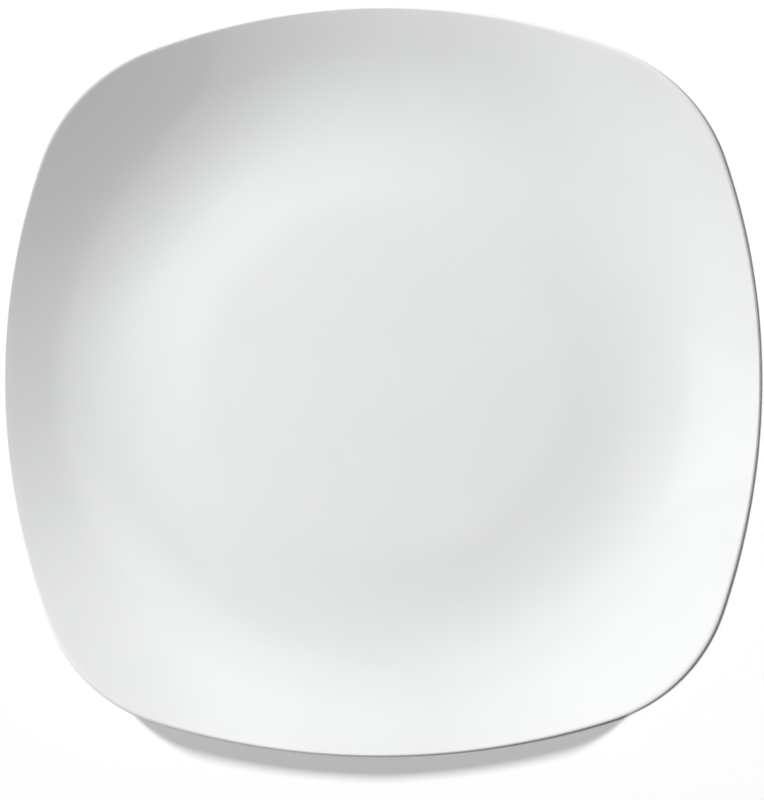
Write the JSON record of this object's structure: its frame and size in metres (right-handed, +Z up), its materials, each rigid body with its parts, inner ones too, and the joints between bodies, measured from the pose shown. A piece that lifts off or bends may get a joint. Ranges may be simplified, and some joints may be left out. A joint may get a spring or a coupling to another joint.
{
  "type": "square plate",
  "caption": "White glazed china coupe plate in a rounded-square outline, with a round well, upturned corners and a bare foot ring, for serving food.",
  "frame": {"origin": "on the table, below the middle of the plate", "axes": "+Z up, out of the eating face; +X and +Y through the middles of two neighbouring sides"},
  "size_m": [0.27, 0.27, 0.0268],
  "materials": {
    "china_body": "fired china, bare and fine-grained where it shows on the foot",
    "white_glaze": "clear gloss glaze over white china"
  },
  "bodies": {
    "root": {"plate_body": "china_body", "face_glaze": "white_glaze", "base_glaze": "white_glaze"}
  },
  "joints": []
}
